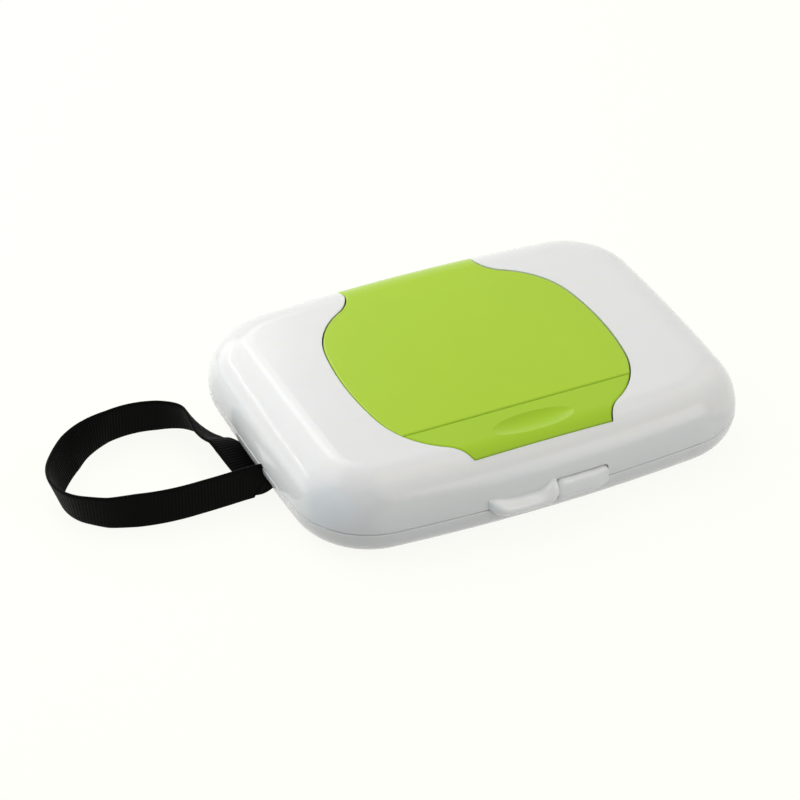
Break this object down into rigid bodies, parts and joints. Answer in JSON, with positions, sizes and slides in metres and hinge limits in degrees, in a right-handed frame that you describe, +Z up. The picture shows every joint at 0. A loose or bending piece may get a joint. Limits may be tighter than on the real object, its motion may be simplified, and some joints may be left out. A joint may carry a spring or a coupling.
{
  "type": "wipes dispenser case",
  "caption": "Portable wet-wipes dispenser case: hinged pearl shells, green flip lid with press strip over a soft outlet, and a webbing wrist strap.",
  "frame": {"origin": "centre of the case's footprint, on the surface that it rests on", "axes": "+X along the case to its right end, -Y to the front with the finger tabs, +Z up"},
  "size_m": [0.2293, 0.134, 0.029],
  "materials": {
    "pearl_shell": "gloss",
    "green_lid": "gloss",
    "green_frame": "satin",
    "white_panel": "satin",
    "soft_white": "matte",
    "seal_grey": "matte",
    "pin_steel": "brushed",
    "spring_steel": "brushed",
    "strap_webbing": "woven"
  },
  "bodies": {
    "base": {"lower_shell": "pearl_shell", "left_shell_hinge_pin": "pin_steel", "right_shell_hinge_pin": "pin_steel", "shell_seal": "seal_grey", "strap_bar": "pin_steel", "wrist_strap": "strap_webbing"},
    "cover": {"upper_shell": "pearl_shell", "dispenser_frame": "green_frame", "frame_screws": "pin_steel", "dispensing_membrane": "soft_white", "membrane_ring": "white_panel", "lid_hinge_pin": "pin_steel", "lid_spring": "spring_steel", "latch_spring": "spring_steel"},
    "lid": {"flip_lid": "green_lid", "lid_inner_panel": "white_panel", "lid_seal": "soft_white"},
    "button": {"release_button": "green_lid"},
    "latch": {"latch_slider": "white_panel"}
  },
  "joints": [
    {"name": "shell_hinge", "type": "hinge", "parent": "base", "child": "cover", "pos_m": [0, 0.064, 0.01165], "axis": [-1, 0, 0], "range_deg": [0, 120]},
    {"name": "lid_hinge", "type": "hinge", "parent": "cover", "child": "lid", "pos_m": [0, 0.05749, 0.01963], "axis": [-1, 0, 0], "range_deg": [0, 105], "deforming": ["lid_spring"]},
    {"name": "button_press", "type": "slide", "parent": "cover", "child": "button", "axis": [0, 0, -1], "range_m": [0, 0.0015], "stiffness_N_per_m": 400, "springref_m": -0.002},
    {"name": "latch_slide", "type": "slide", "parent": "cover", "child": "latch", "axis": [0, -1, 0], "range_m": [0, 0.0015], "deforming": ["latch_spring"]}
  ],
  "couplings": [
    {"joint": "latch_slide", "follows": "button_press", "ratio": 1}
  ]
}
